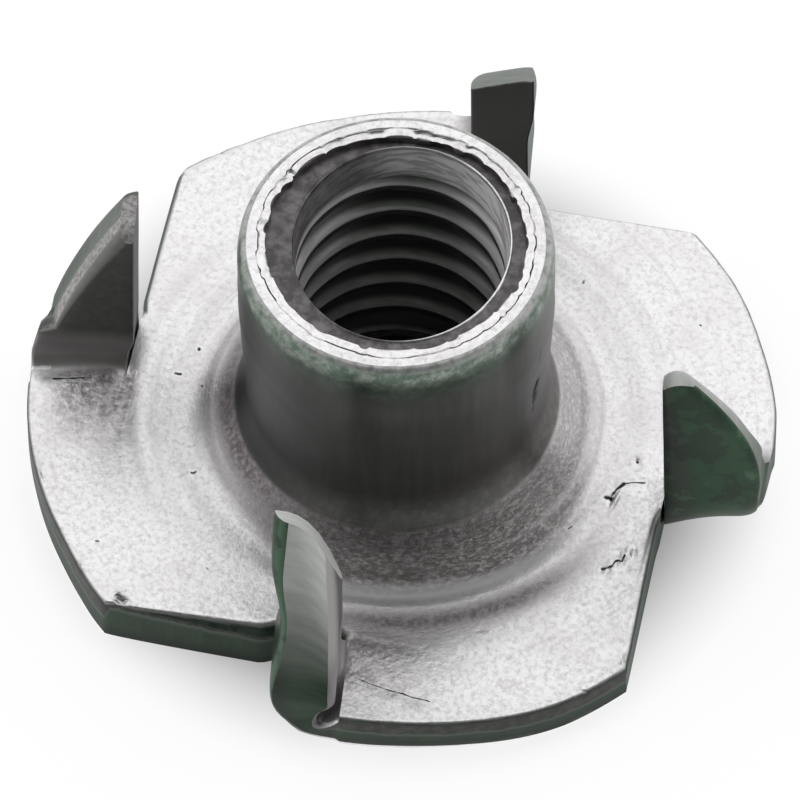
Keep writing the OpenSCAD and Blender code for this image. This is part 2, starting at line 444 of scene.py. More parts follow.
def thread_depth(angle, z):
    """Depth of the thread: flat crest, straight flanks and flat root, wound once round for each pitch of
    height."""
    phase = (z / PITCH - angle / (2 * np.pi) + THREAD_START) % 1
    flank = np.clip((np.abs(phase - 0.5) - THREAD_ROOT) / THREAD_FLANK, 0, 1)
    ends = ease((THREAD_TOP - z) / THREAD_FADE[0]) * ease((z - THREAD_LOW) / THREAD_FADE[1])
    return THREAD_DEPTH * (1 - flank) * ends


# %% Split in the wall of the barrel: angle in degrees and height, then half width and depth
SPLIT_ROUTE = ((-14.0, 6.15), (-17.0, 5.80), (-15.0, 5.60), (-16.3, 5.30))
SPLIT_WIDTH, SPLIT_DEPTH = 0.085, 0.06


def split_depth(angle, z):
    """Depth of the split, a groove whose sides fall as a bell curve along its broken line."""
    route = [(np.radians(degrees) * LAND_R, high) for degrees, high in SPLIT_ROUTE]
    near = np.min([line_distance(angle * LAND_R, z, *ends) for ends in zip(route[:-1], route[1:])], axis=0)
    return SPLIT_DEPTH * np.exp(-(near / SPLIT_WIDTH) ** 2)


# %% The turned grid
def rows(*names):
    """1 for the rows of the section that belong to these stretches, 0 for the others."""
    return np.isin(stretch, names).astype(float)[:, None]


radius = np.repeat(section[:, :1], len(ANGLE), axis=1)
height = np.repeat(section[:, 1:], len(ANGLE), axis=1)
turn_place = np.stack([6 * np.cos(ANGLE) + 0 * height, 6 * np.sin(ANGLE) + 0 * height, 5 * height], axis=-1)
bulge, inner, low, gape = flakes(ANGLE)
bright_side = ease((np.cos(ANGLE - 0.35) + 0.35) / 0.6)     # share of the lead-in and lip that keeps its bright colour; towards the left they take the darker colour of the ledge
radius += rows("bore") * thread_depth(ANGLE[None], height)
radius += rows("lead_in") * 0.014 * waves(turn_place, 0.9, 8)
radius += rows("flake", "crack") * bulge + (rows("inner_wall") + rows("flake") * 0.6) * inner
height -= rows("flake") * low + rows("ledge") * 0.012 * waves(turn_place, 1.5, 9)
height += rows("crack") * (HEIGHT - height) * 0.7 * (1 - gape)
height += rows("ring", "shoulder") * 0.012 * waves(turn_place[..., :2], 1.1, 10)
wall = rows("shoulder", "land", "neck")
radius += wall * (0.012 * waves(turn_place, 4.0, 11))
radius -= rows("land", "neck") * split_depth(ANGLE[None], height)
plain_x, plain_y = radius * np.cos(ANGLE), radius * np.sin(ANGLE)
height += rows("root", "foot") * ease((radius - NECK_R) / 0.9) * unevenness(plain_x, plain_y)

shift_x = BARREL_SHIFT * ease((SEAM_R - radius) / (SEAM_R - NECK_R))
lean = rows("bore", "lead_in", "lip") * ease((height - ENTRY_R) / 6)
lean[stretch == "ledge"] = np.linspace(0.85, 0, (stretch == "ledge").sum())[:, None]
lip = ease((height - LEAD_IN) / (HEIGHT - LEDGE_DROP - LEAD_IN)) * lean
plain_x = plain_x * (1 - BORE_SQUASH * lean)
barrel = np.stack([plain_x + shift_x + BORE_SHIFT[0] * lean,
                   plain_y + BORE_SHIFT[1] * lean + LIP_SHIFT * lip, height], axis=-1)
print(f"barrel of {barrel.shape[0]} rows and {barrel.shape[1]} columns")

# %% [markdown]
# ## Tongues: from the flange through the fold to the prong tip
#
# Each tongue is the part of the disc beyond a chord. Its first half stays in the flange, and its second
# half is the prong. It could be an extruded wedge with a bent foot joined on. Here the grid runs along the
# tongue as it lay in the flat sheet, and every point is then carried round the fold, which is what a press
# does to it. That keeps the thickness, the rolled edges and the fold right in one rule.

# %% Lengthwise and crosswise stations of a tongue
# Steps round the fold and up the blade, rows down a sheared edge, and steps across the middle of a face
N_BEND, N_BLADE, N_WALL, N_MIDDLE = 14, 24, 7, 8
EDGE_STEPS = 1 - np.sin(np.linspace(0, np.pi / 2, 7))   # places on a rolled edge, closer towards its end
FACE_EDGE = (0.05, 0.05)    # width and drop of the worn corners along the straight edge of a prong

# Rolled edge along the curved side of a prong, as width and drop at the fold and at the tip
INNER_EDGE = (((0.04, 0.03), (0.26, 0.32)), ((0.22, 0.18), (0.32, 0.38)), ((0.22, 0.18), (0.32, 0.38)),
              ((0.22, 0.18), (0.32, 0.38)))
OUTER_EDGE = ((0.35, 0.08), (0.7, 1.0))
OUTER_TIP = (0.3, 0.42, 0.3, 0.1)   # drop of that outer edge at each tip
FOLD_CLIMB = 0.12           # share of the curved edge that lies in the fold


def across(width, edge_width):
    """Shares from 0 at the straight side to 1 at the rim: close steps at both sides and even ones
    between."""
    near = np.array([0, 0.4, 1.0])[:, None] * np.minimum(FACE_EDGE[0], 0.1 * width)
    edge = np.minimum(edge_width, 0.55 * width)
    even = near[-1] + np.linspace(0, 1, N_MIDDLE + 1, endpoint=False)[1:, None] * (width - edge - near[-1])
    far = width - edge * EDGE_STEPS[:, None]
    return np.concatenate([near, even, far]) / np.maximum(width, 1e-9)


# %% How a point of the flat sheet is carried round the fold
def rimward(out):
    """0 at the straight cut and 1 at the rim."""
    return np.clip(out / (RIM_R - CUT_X), 0, 1)


def bend_radius(k, out):
    """Inner radius of fold k at a distance out from the straight cut, from its value at the slit to that at
    the rim."""
    return BEND_R[k][0] + (BEND_R[k][1] - BEND_R[k][0]) * rimward(out)


def fold_start(k, out):
    """Place along the sheet where the fold of prong k starts, at a distance out from the straight cut: the
    inner face of the prong, less what its twist takes off by there, less the radius of the bend."""
    return PRONG_OFFSET[k] - np.tan(TWIST) * out - bend_radius(k, out)


def blade_reach(k, turn, share, inner=0):
    """Distance from the straight edge of prong k to its curved edge: the rim as far as its step in, and a
    shallow arc from there to the tip. inner runs from 0 on the outer face to 1 on the inner face."""
    climb = FOLD_CLIMB * np.clip(2 * turn - 1, 0, 1) + (1 - FOLD_CLIMB) * share
    foot_out = RIM_R - CUT_X - SLIT - FOOT_STEP[k]
    arc_out = foot_out + (TIP_W[k] - foot_out) * climb + BULGE[k] * (1 - (2 * climb - 1) ** 2)
    rim_out = RIM_R - CUT_X - 0.08 - (SLIT + 0.02) * turn + FOOT_OUT[k] * inner * turn
    step_at = STEP_AT[k][0] + (STEP_AT[k][1] - STEP_AT[k][0]) * inner
    return rim_out + (arc_out - rim_out) * ease((turn + 5 * share - step_at + 0.1) / 0.2)


def folded(k, out, turn, rise, depth):
    """Point of prong k, in the frame of the left prong. out is the distance from its straight edge, turn
    runs from 0 to 1 round the fold, rise is the height above the end of the fold, and depth is 0 on the
    outer face of the prong, which is the underside of the sheet, and SHEET on the inner face. The fold is a
    quarter of a superellipse: a circle on the inner face, and squarer towards the outer one."""
    outward = 1 - depth / SHEET
    angle = turn * np.pi / 2
    squareness = SQUARE[k][1] + (SQUARE[k][0] - SQUARE[k][1]) * (1 - rimward(out)) ** 4
    power = 2 + squareness * np.clip(outward, 0, 1) ** 2
    corner = (np.cos(angle) ** power + np.sin(angle) ** power) ** (-1 / power)
    radius = (bend_radius(k, out) + SHEET - depth) * corner
    z = SHEET + bend_radius(k, out) - radius * np.cos(angle) + rise
    high = np.clip((z - SHEET) / (PRONG_H[k] - SHEET), 0, 1)
    proud = FLARE[k] * ease((high - 0.45) / 0.3) + SWELL[k] * ease(turn) * (1 - ease((high - 0.05) / 0.35))
    y = fold_start(k, out) + radius * np.sin(angle) + proud * outward
    inward = (LEAN * high + np.sin(TWIST) * depth * ease(high * 6)) * ease(high * 6)
    x = -(CUT_X + SLIT * ease(turn) + out) + inward
    return np.stack([x, y, z], axis=-1)


def tip_z(k, depth):
    """Height of the tip: full on the outer face, and falling towards the inner face."""
    width, drop, power = TIP_FALL[k]
    return PRONG_H[k] - drop * np.clip(1 - (SHEET - depth) / width, 0, 1) ** power


# %% Stations along one tongue
def stations(k):
    """For each column of tongue k: its place along the chord, turn round the fold, share of the blade, and
    width."""
    flat_y = chord_y(k)
    y = np.concatenate([flat_y, np.full(N_BEND + N_BLADE, FOLD_Y[k])])
    turn = np.concatenate([np.zeros(N_CHORD), np.linspace(0, 1, N_BEND + 1), np.ones(N_BLADE)])
    share = np.concatenate([np.zeros(N_CHORD + N_BEND), np.linspace(0, 1, N_BLADE + 1)])
    width = np.sqrt(np.maximum(RIM_R ** 2 - y ** 2, 0)) - CUT_X
    width = np.where(turn > 0, blade_reach(k, turn, share), width)
    return y, turn, share, np.maximum(width, 0)


def edge_roll(rim, face, tip_drop, turn, share):
    """Width and drop of a rolled edge along a tongue: those of the rim, then those of the fold, then of the
    tip."""
    rim, fold, tip = (np.array(size)[:, None] for size in (rim, face[0], (face[1][0], face[1][1] * tip_drop)))
    return rim + (fold - rim) * ease(turn) + (tip - fold) * share


# %% Skin of one tongue
def tongue_point(k, f, depth, y, turn, share, width):
    """Point of tongue k at share f of its width and a depth in the sheet, for the columns given. In the
    flange it lies that share of the way from the chord to the rim. On the prong it also rises, from the end
    of the fold to the tip, in step with the share of the blade."""
    foot_out = f * (RIM_R - CUT_X - SLIT - 0.12)
    foot_z = SHEET + bend_radius(k, foot_out)
    z = foot_z + share * (tip_z(k, depth) - TIP_DOME[k] * (2 * f - 1) ** 2 - foot_z)
    narrow = TAPER[k] * depth / SHEET * ease(share * 2)
    out = f * (np.where(turn > 0, blade_reach(k, turn, share, depth / SHEET), width) - narrow)
    rise = np.where(share > 0, z - SHEET - bend_radius(k, out), 0)
    bent = folded(k, out, turn, rise, depth)
    near_fold = ease((y - FOLD_Y[k] + 3) / 3)
    flat_y = y + near_fold * (fold_start(k, out) - FOLD_Y[k])
    flat_x = -CUT_X - f * (np.sqrt(np.maximum(RIM_R ** 2 - flat_y ** 2, 0)) - CUT_X)
    flat = np.stack([flat_x, flat_y, depth + 0 * flat_x], axis=-1)
    return np.where((turn > 0)[..., None], bent, flat)


def tongue(k):
    """Grids of tongue k: upper face, lower face, rim, straight edge of the prong, and tip."""
    y, turn, share, width = stations(k)
    column = (y, turn, share, width)
    on_prong = turn > 0
    inner_roll = edge_roll(RIM_BURR, INNER_EDGE[k], 1, turn, share)
    outer_roll = edge_roll(RIM_ROLL, OUTER_EDGE, OUTER_TIP[k], turn, share)
    f_top = across(width, np.maximum(inner_roll[0], 0.2))
    f_low = across(width, outer_roll[0])
    # Depth in the sheet: rolled edges on the prong, and the surface of the flange before it
    corner = ease(turn * 3)
    worn_top = quarter_drop(f_top * width, *FACE_EDGE) * corner
    worn_low = quarter_drop(f_low * width, *FACE_EDGE) * corner
    top_depth = SHEET - worn_top - quarter_drop((1 - f_top) * width, *inner_roll)
    low_depth = worn_low + quarter_drop((1 - f_low) * width, *outer_roll)
    flat = ~on_prong
    top_xy = tongue_point(k, f_top, np.full_like(f_top, SHEET), *column)
    low_xy = tongue_point(k, f_low, np.zeros_like(f_low), *column)
    top_place = turned(top_xy, k)
    top_depth = np.where(flat, top_z(top_place[..., 0], top_place[..., 1]), top_depth)
    low_depth = np.where(flat, bottom_z(low_xy[..., 0], low_xy[..., 1]), low_depth)
    raised = top_depth[:, N_CHORD:N_CHORD + 1] - SHEET
    groove = GROOVE[k] * np.exp(-((turn - 0.4) / 0.25) ** 2) * ease(f_top * 1.5 - 0.45)
    top_depth = top_depth + np.where(flat, 0, raised * (1 - ease(turn)) - groove)

    # The two faces, and then the edges that join them
    top = tongue_point(k, f_top, top_depth, *column)
    low = tongue_point(k, f_low, low_depth, *column)
    fall = np.linspace(0, 1, N_WALL)[:, None]
    rim_depth = top_depth[-1] + (low_depth[-1] - top_depth[-1]) * fall
    rim = tongue_point(k, np.ones_like(rim_depth), rim_depth, *column)
    straight_depth = (top_depth[0] + (low_depth[0] - top_depth[0]) * fall)[:, N_CHORD:]
    straight_column = tuple(part[N_CHORD:] for part in column)
    straight_edge = tongue_point(k, np.zeros_like(straight_depth), straight_depth, *straight_column)
    last = tuple(part[-1:] for part in column)
    tip_f = f_top[:, -1] + (f_low[:, -1] - f_top[:, -1]) * fall
    tip_depth = top_depth[:, -1] + (low_depth[:, -1] - top_depth[:, -1]) * fall
    tip = tongue_point(k, tip_f, tip_depth, *last)
    # Marks: those of the sheet fade out over the fold, where those of the prong come in
    bent = ease(turn * 1.6)
    flat_marks = sheet_marks(top_place[..., 0], top_place[..., 1], 1 - bent)
    on_top, on_low = np.broadcast_to(share, f_top.shape), np.broadcast_to(share, f_low.shape)
    return (
        (top, dict(inner=bent, crack=0.75 * groove, prong_place=(f_top, on_top, PAINTED_EDGE_LIGHT[k]), **flat_marks)),
        (low, dict(outer=bent, prong_place=(f_low, on_low, PAINTED_EDGE_LIGHT[k]))),
        (rim, dict(sheared=1.0, band=0.42 * (1 - bent) + TORN[k] * bent,
                   prong_place=(np.ones_like(rim_depth), share, PAINTED_EDGE_LIGHT[k]))),
        (straight_edge, dict(sheared=1.0, band=1.4,
                             prong_place=(np.zeros_like(straight_depth), share[N_CHORD:], 0.3))),
        (tip, dict(sheared=1.0, band=TIP_TORN[k], prong_place=(tip_f, 1.0, PAINTED_EDGE_LIGHT[k]))),
    )


# %% [markdown]
# ## Marks of the upper face
#
# The press leaves the sheet bright where it only lay still. Drawing stretches it to scales in a ring round the
# barrel, and folding strains it before each prong. Some bands round the barrel are painted darker, as painted
# shade on a duller finish, and others brighter, as painted highlights. These could be masks painted as
# pictures. As functions of the place they need no picture, and each grid that covers the flange gets the same
# answer.

# %% How far drawing has roughened the upper face
WORKED_FROM = 4.6           # radius where the ring starts
WORKED_FRONT = (-68, 75)    # middle and spread of the angle where it is roughest and widest
WORKED_TO = (5.5, 6.4)      # radii where its scales start to end, and where the last of them do
WORKED_MORE = (0.7, 1.6)    # how much further both reach in front


def worked(x, y):
    """A ring round the foot of the barrel, roughest in front and narrower at its back."""
    radius, angle = np.hypot(x, y), np.degrees(np.arctan2(y, x))
    middle, spread = WORKED_FRONT
    front = ease(1.4 * (1 - np.abs((angle - middle + 180) % 360 - 180) / spread))
    inner_ring = 1 - ease((radius - WORKED_TO[0] - WORKED_MORE[0] * front) / 0.7)
    outer_ring = 1 - ease((radius - WORKED_TO[1] - WORKED_MORE[1] * front) / 1.0)
    return ease((radius - WORKED_FROM) / 0.3) * (0.85 * inner_ring + 0.15 * outer_ring) * (0.6 + 0.4 * front)


# %% How far folding has strained the sheet before each prong
# Rough and dull before each fold: amount, and how far out from the straight cut it reaches and ends
STRAIN = ((1.0, 1.2, 1.2), (0.75, 1.25, 0.8), (0.2, 1.0, 1.0), (0.5, 1.6, 0.8))


def strained(x, y):
    """Full where a fold starts and gone LIFT_RUN before it. It stops short at the line of the cut."""
    total = np.zeros(np.shape(x))
    for k, (amount, reach, end) in enumerate(STRAIN):
        u, v = prong_frame(x, y, k)
        before = ease((v - FOLD_Y[k]) / LIFT_RUN + 1) ** 0.6 * (1 - ease((v - FOLD_Y[k] - 0.1) / 0.4))
        total += amount * before * ease((-u - CUT_X + 0.42) / 0.16) * (1 - ease((-u - CUT_X - reach) / end))
    return np.clip(total, 0, 1)


# %% Bands of the sheet that are painted darker, as painted shade, and brighter, as painted highlights
# Radius, half width, dullness and painted shade (below 0: painted highlight), and the middle and spread of the
# angle in degrees
SHADE_AND_HIGHLIGHT_BANDS = ((4.95, 0.42, 0.50, -108, 118), (5.30, 0.50, 0.20, -115, 80), (5.93, 0.12, 0.60, -88, 38),
         (6.27, 0.10, -0.45, -86, 34), (6.62, 0.24, -0.80, -72, 52), (7.50, 0.38, 0.90, -66, 44),
         (8.10, 0.30, 0.25, -80, 24), (5.45, 0.10, 0.35, 15, 60), (5.75, 0.09, -0.50, 8, 62),
         (6.05, 0.09, 0.25, 5, 60), (5.15, 0.22, 0.50, 190, 60), (5.55, 0.10, -0.40, 185, 50),
         (5.80, 0.12, 0.35, 192, 45), (6.9, 0.35, 0.10, 185, 60), (7.35, 0.25, -0.30, 190, 50),
         (7.95, 0.28, 0.13, 180, 60), (7.1, 0.35, 0.12, 38, 60), (7.9, 0.3, 0.10, 50, 50))


def shade_and_highlight(x, y):
    """Sum of bell-shaped bands, each fading out away from the middle of its angle."""
    radius, angle = np.hypot(x, y), np.degrees(np.arctan2(y, x))
    total = np.zeros(np.shape(x))
    for band_r, width, amount, middle, spread in SHADE_AND_HIGHLIGHT_BANDS:
        away = np.abs((angle - middle + 180) % 360 - 180) / spread
        total += amount * ease(1.5 * (1 - away)) * np.exp(-((radius - band_r) / width) ** 2)
    return total


def sheet_marks(x, y, share=1.0):
    """Marks of the upper face: roughened, strained, dull with painted shade, painted highlight, and rolled
    over at a cut. Each is a number times a share, which is 1 where the sheet lies flat."""
    dull_and_shade = shade_and_highlight(x, y)
    rolled = np.maximum(ease(cut_drop(x, y) / 0.1), ease(1 - rim_distance(x, y) / RIM_BURR[0]))
    return dict(worked=worked(x, y) * share, strained=strained(x, y) * share, rolled=rolled * share,
                dull_and_shade=np.clip(dull_and_shade, 0, 1) * share, painted_highlight=np.clip(-dull_and_shade, 0, 1) * share)


# %% [markdown]
# ## One welded mesh
#
# Every grid is laid down as quads, and points that coincide are merged, so the skin closes without any
# boolean. Each grid also says what it is with a few marks, such as how much of it is a sheared edge, and
# the material reads them. The marks are kept per face corner and not per point, so that a sheared edge ends
# sharply at its corner. Three places go with them: `edge_place` is the distance along a sheared edge and
# the share of the way down it, `prong_place` is the share across a prong and up it, and `ring_place` goes
# round with the barrel and outward with the section, for patterns that run in rings.

# %% The real outline, which isn't quite round
def out_of_round(points):
    """Points moved to the real outline. The rim moves by its offset at that angle, times the square of the
    way from the seam to it. A straight cut moves outward by its shift, which fades in over the 2 mm before
    it."""
    flat_x, flat_y = points[..., 0], points[..., 1]
    radius, angle = np.hypot(flat_x, flat_y), np.degrees(np.arctan2(flat_y, flat_x))
    degrees, offset = np.array(RIM_SHAPE).T
    way = np.clip((radius - SEAM_R) / (RIM_R - SEAM_R), 0, 1)
    grow = 1 + np.interp(angle, degrees, offset, period=360) * way ** 2 / np.maximum(radius, 1)
    x, y = flat_x * grow, flat_y * grow
    for k, shift in enumerate(CUT_SHIFT):
        u, v = prong_frame(flat_x, flat_y, k)
        moved = shift * ease((-u - 6) / 2) * ease((v - 1.95) / 0.6)
        c, s = np.round([np.cos(k * np.pi / 2), np.sin(k * np.pi / 2)])
        x, y = x - c * moved, y - s * moved
    return np.stack([x, y, points[..., 2]], axis=-1)


# %% Marks and places that go with the grids
GRIDS = []
MARKS = ("sheared", "outer", "inner", "drawn", "shoulder", "worked", "strained", "dull_and_shade", "painted_highlight", "rolled",
         "bored", "ledge", "crack")
PLACES = ("edge_place", "prong_place")


def lay(points, closed=False, **marks):
    """Keeps a grid of points with its marks. closed joins its last column to its first."""
    GRIDS.append((out_of_round(points), closed, marks))


def run_and_fall(points, band):
    """Place on a sheared edge: distance along its first row in millimetres, share of the way down, and how
    far down its upper band reaches."""
    run = np.concatenate([[0], np.cumsum(np.linalg.norm(np.diff(points[0], axis=0), axis=-1))])
    fall = np.linspace(0, 1, len(points))[:, None]
    return np.stack(np.broadcast_arrays(run[None], fall, band), axis=-1)


def shares(name):
    """Shares from 0 to 1 over the rows of one stretch of the section."""
    share = np.zeros(len(section))
    share[stretch == name] = np.linspace(0, 1, (stretch == name).sum())
    return share[:, None]


# %% Lay the grids
lay(flange_low[::-1], closed=True)
lay(barrel, closed=True,
    bored=rows("bore", "lead_in") + 0.5 * rows("entry"),
    ledge=rows("ledge", "inner_wall") + (rows("lip") + 0.75 * rows("lead_in")) * (1 - bright_side),
    crack=rows("crack") * (section[:, 1:] < HEIGHT - 0.1) * gape,
    shoulder=rows("shoulder") + rows("land") * (1 - ease(shares("land") * 1.5)),
    drawn=rows("shoulder", "land", "neck") + rows("root") * (1 - ease((shares("root") - 0.37) / 0.07)),
    **sheet_marks(barrel[..., 0], barrel[..., 1], rows("root", "foot")))
lay(flange_top, closed=True, **sheet_marks(TOP_X, TOP_Y))
fall = np.linspace(0, 1, N_WALL)[:, None, None]
cut_wall = flange_top[-1] + (flange_low[-1] - flange_top[-1]) * fall
for quarter in range(4):
    first = quarter * (N_CUT + N_RIM + N_CHORD)
    piece = cut_wall[:, first:first + N_CUT + N_RIM + 1]
    band = np.where(np.arange(piece.shape[1]) < N_CUT, 0.10, 0.42)
    lay(piece, sheared=1.0, edge_place=run_and_fall(piece, band))
for k in range(4):
    for points, marks in tongue(k):
        if "sheared" in marks:
            marks["edge_place"] = run_and_fall(points, marks.pop("band"))
        marks["prong_place"] = np.stack(np.broadcast_arrays(*marks["prong_place"]), axis=-1)
        lay(turned(points, k), **marks)
print(f"{len(GRIDS)} grids of {sum(grid[0][..., 0].size for grid in GRIDS)} points")

# %% Weld them
WELD = 0.0008               # points closer than this become one, in millimetres
SLIVER = 0.0004             # edges shorter than this are taken out, in millimetres
SHARP = np.radians(42)      # edges that turn by more than this stay sharp, apart from those of the thread


def weld(name, grids):
    """One mesh from many grids: quads between neighbouring points, coincident points merged, faces
    outward."""
    points, faces, laid = [], [], 0
    marks = {mark: [] for mark in MARKS}
    places = {kind: [] for kind in PLACES}
    for grid, closed, given in grids:
        n_rows, n_columns = grid.shape[:2]
        index = np.arange(n_rows * n_columns).reshape(n_rows, n_columns)
        if closed:
            index = np.concatenate([index, index[:, :1]], axis=1)
        quads = np.stack([index[:-1, :-1], index[:-1, 1:], index[1:, 1:], index[1:, :-1]], axis=-1)
        quads = quads.reshape(-1, 4)
        points.append(grid.reshape(-1, 3))
        faces.append(laid + quads)
        for mark in MARKS:
            values = np.broadcast_to(given.get(mark, 0.0), grid.shape[:2]).reshape(-1)
            marks[mark].append(values[quads].reshape(-1))
        for kind in PLACES:
            place = np.broadcast_to(given.get(kind, 0.0), grid.shape).reshape(-1, 3)
            places[kind].append(place[quads].reshape(-1, 3))
        laid += n_rows * n_columns
    points = np.concatenate(points)
    # The mesh, with its marks and places
    mesh = bpy.data.meshes.new(name)
    mesh.from_pydata((points * MM).tolist(), [], np.concatenate(faces).tolist())
    for mark in MARKS:
        layer = mesh.attributes.new(mark, "FLOAT", "CORNER")
        layer.data.foreach_set("value", np.concatenate(marks[mark]).astype(np.float32))
    for kind in PLACES:
        layer = mesh.attributes.new(kind, "FLOAT_VECTOR", "CORNER")
        layer.data.foreach_set("vector", np.concatenate(places[kind]).astype(np.float32).reshape(-1))
    radius, angle = np.hypot(points[:, 0], points[:, 1]), np.arctan2(points[:, 1], points[:, 0])
    ring_place = np.stack([6 * np.cos(angle), 6 * np.sin(angle), radius - points[:, 2]], axis=-1)
    layer = mesh.attributes.new("ring_place", "FLOAT_VECTOR", "POINT")
    layer.data.foreach_set("vector", ring_place.astype(np.float32).reshape(-1))

    # Close the skin, and keep its corners sharp
    work = bmesh.new()
    work.from_mesh(mesh)
    bmesh.ops.remove_doubles(work, verts=work.verts, dist=WELD * MM)
    bmesh.ops.dissolve_degenerate(work, edges=work.edges, dist=SLIVER * MM)
    bmesh.ops.recalc_face_normals(work, faces=work.faces)
    loose = sum(1 for edge in work.edges if not edge.is_manifold)
    past_thread = (CREST_R + THREAD_DEPTH + 0.35) * MM
    for edge in work.edges:
        steep = edge.is_manifold and edge.calc_face_angle(0) > SHARP
        in_bore = all(vert.co.xy.length < past_thread and vert.co.z < LEAD_IN * MM for vert in edge.verts)
        edge.smooth = in_bore or not steep
        for face in edge.link_faces:
            face.smooth = True
    work.to_mesh(mesh)
    work.free()
    mesh.update()
    triangles = sum(len(polygon.vertices) - 2 for polygon in mesh.polygons)
    print(f"{name}: {triangles} triangles, {loose} edges that aren't shared by two faces")
    return mesh


steel_mesh = weld("tee_nut_steel", GRIDS)
steel_piece = bpy.data.objects.new("tee_nut_steel", steel_mesh)
bpy.context.scene.collection.objects.link(steel_piece)
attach(steel_piece, "root")
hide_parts("tee_nut")

# %% [markdown]
# ## Steel
#
# It is all one steel, but the press leaves a different skin on each part of it: bright grainy sheet, a smooth
# wall where the die ironed the barrel, a scaly ring where the sheet was stretched, and dark sheared edges.
# Much light and shade is painted into the colours: the wall is painted dark, the sheared edges, the shoulder
# and the outer faces of the prongs are painted green as a painted reflection of green surroundings, and bands,
# threads, cracks and scratches carry painted shade and painted highlights. One material could be split over
# several slots, but the skins run into each other, so one tree mixes them by the marks. Colours are given as
# the eye reads them and turned into light here.

# %% Node helpers
bench = {}      # bench["tree"] is the node tree that the helpers below add their nodes to


def shade(red, green, blue):
    """Colour of 0 to 255 as it looks on a screen, as amounts of light."""
    value = np.array([red, green, blue]) / 255
    light = np.where(value <= 0.04045, value / 12.92, ((value + 0.055) / 1.055) ** 2.4)
    return (*light.tolist(), 1.0)


def put(value, socket):
    """Links another node's output to a socket, or sets the socket to a number, colour or place."""
    if isinstance(value, bpy.types.NodeSocket):
        bench["tree"].links.new(value, socket)
    else:
        socket.default_value = value


def node(kind, settings=(), **inputs):
    """A node with its settings and its inputs. _1 names the second input."""
    made = bench["tree"].nodes.new("ShaderNode" + kind)
    for name, value in dict(settings).items():
        setattr(made, name, value)
    for name, value in inputs.items():
        put(value, made.inputs[int(name[1:])] if name[1:].isdigit() else made.inputs[name.replace("_", " ")])
    return made


def mark(name):
    """The value that the mesh keeps under this name."""
    return node("Attribute", {"attribute_name": name}).outputs["Fac"]


def kept_place(name):
    """The place that the mesh keeps under this name."""
    return node("Attribute", {"attribute_name": name}).outputs["Vector"]


def parts(place):
    """The three numbers of a place."""
    return node("SeparateXYZ", Vector=place).outputs[0:3]


def noise(place, scale, detail=3.0, roughness=0.6, stretch=(1, 1, 1)):
    """Noise from 0 to 1 at a place, finer as the scale grows, drawn out along the axes where stretch is
    small."""
    placed = node("Mapping", Vector=place, Scale=stretch).outputs["Vector"]
    return node("TexNoise", Vector=placed, Scale=scale, Detail=detail, Roughness=roughness).outputs["Fac"]


def between(value, low, high):
    """0 where the value is below low, 1 above high, and a soft step between. low may be above high."""
    made = node("MapRange", {"interpolation_type": "SMOOTHSTEP"}, Value=value, From_Min=min(low, high),
                From_Max=max(low, high), To_Min=float(low > high), To_Max=float(low < high))
    return made.outputs["Result"]


def reckon(operation, first, second):
    """What a sum such as ADD or MULTIPLY makes of two values."""
    return node("Math", {"operation": operation}, _0=first, _1=second).outputs["Value"]


def times(first, second):
    """Product of two values."""
    return reckon("MULTIPLY", first, second)


def way_sum(operation, first, second, result="Vector"):
    """What a sum of two directions or places makes of them."""
    return node("VectorMath", {"operation": operation}, _0=first, _1=second).outputs[result]


def laid_over(under, over, share):
    """One colour laid over another by a share from 0 to 1."""
    made = node("Mix", {"data_type": "RGBA"}, Factor=share)
    put(under, made.inputs[6])
    put(over, made.inputs[7])
    return made.outputs[2]


def gone_over(under, over, share):
    """One value laid over another by a share from 0 to 1."""
    return node("Mix", {"data_type": "FLOAT"}, Factor=share, _2=under, _3=over).outputs[0]


# %% Laying one skin over another
def skin(colour, rough=0.4, metal=1.0, relief=0.0):
    """A finish of the steel: colour, roughness, how much it mirrors, and height of its relief in
    millimetres."""
    return dict(colour=colour, rough=rough, metal=metal, relief=relief)


def over(under, upper, share):
    """One skin laid over another by a share from 0 to 1. Its colour, roughness, mirroring and relief all
    follow."""
    return dict(colour=laid_over(under["colour"], upper["colour"], share),
                **{part: gone_over(under[part], upper[part], share) for part in ("rough", "metal", "relief")})


# %% Patterns that several skins share
pressed_steel = bpy.data.materials.new("pressed_steel")
pressed_steel.use_nodes = True
bench["tree"] = pressed_steel.node_tree
place = node("VectorMath", {"operation": "SCALE"}, _0=node("TexCoord").outputs["Object"], Scale=1 / MM)
place = place.outputs["Vector"]             # in millimetres
ring_place = kept_place("ring_place")
edge_place = kept_place("edge_place")
prong_place = kept_place("prong_place")
east, north, high = parts(place)
down_barrel = parts(ring_place)[2]          # distance from the axis less the height
fall, band = parts(edge_place)[1:]
prong_out, prong_up, edge_light = parts(prong_place)
painted_shade_west = between(east, 0.5, -4.0)             # the side of the barrel that is painted darker, as painted shade
grain = noise(place, 7.0, detail=3, roughness=0.7)
leather = noise(place, 3.6, detail=3, roughness=0.6)
clouds = noise(place, 0.45, detail=3)
mottle = noise(place, 2.3, detail=3, roughness=0.7)
rings = noise(ring_place, 5.0, detail=3, roughness=0.6, stretch=(0.06, 0.06, 1.0))
drag = noise(edge_place, 2.4, detail=3, roughness=0.7, stretch=(1, 0.25, 0))

# %% [markdown]
# Handling left scratches and dents on the sheet that are finer than its mesh. They could be drawn in a
# picture, but each is only a route of a few straight pieces, and the nodes can work out how far a place is
# from it: the piece's own length is measured off along it, and what is left over is the distance.

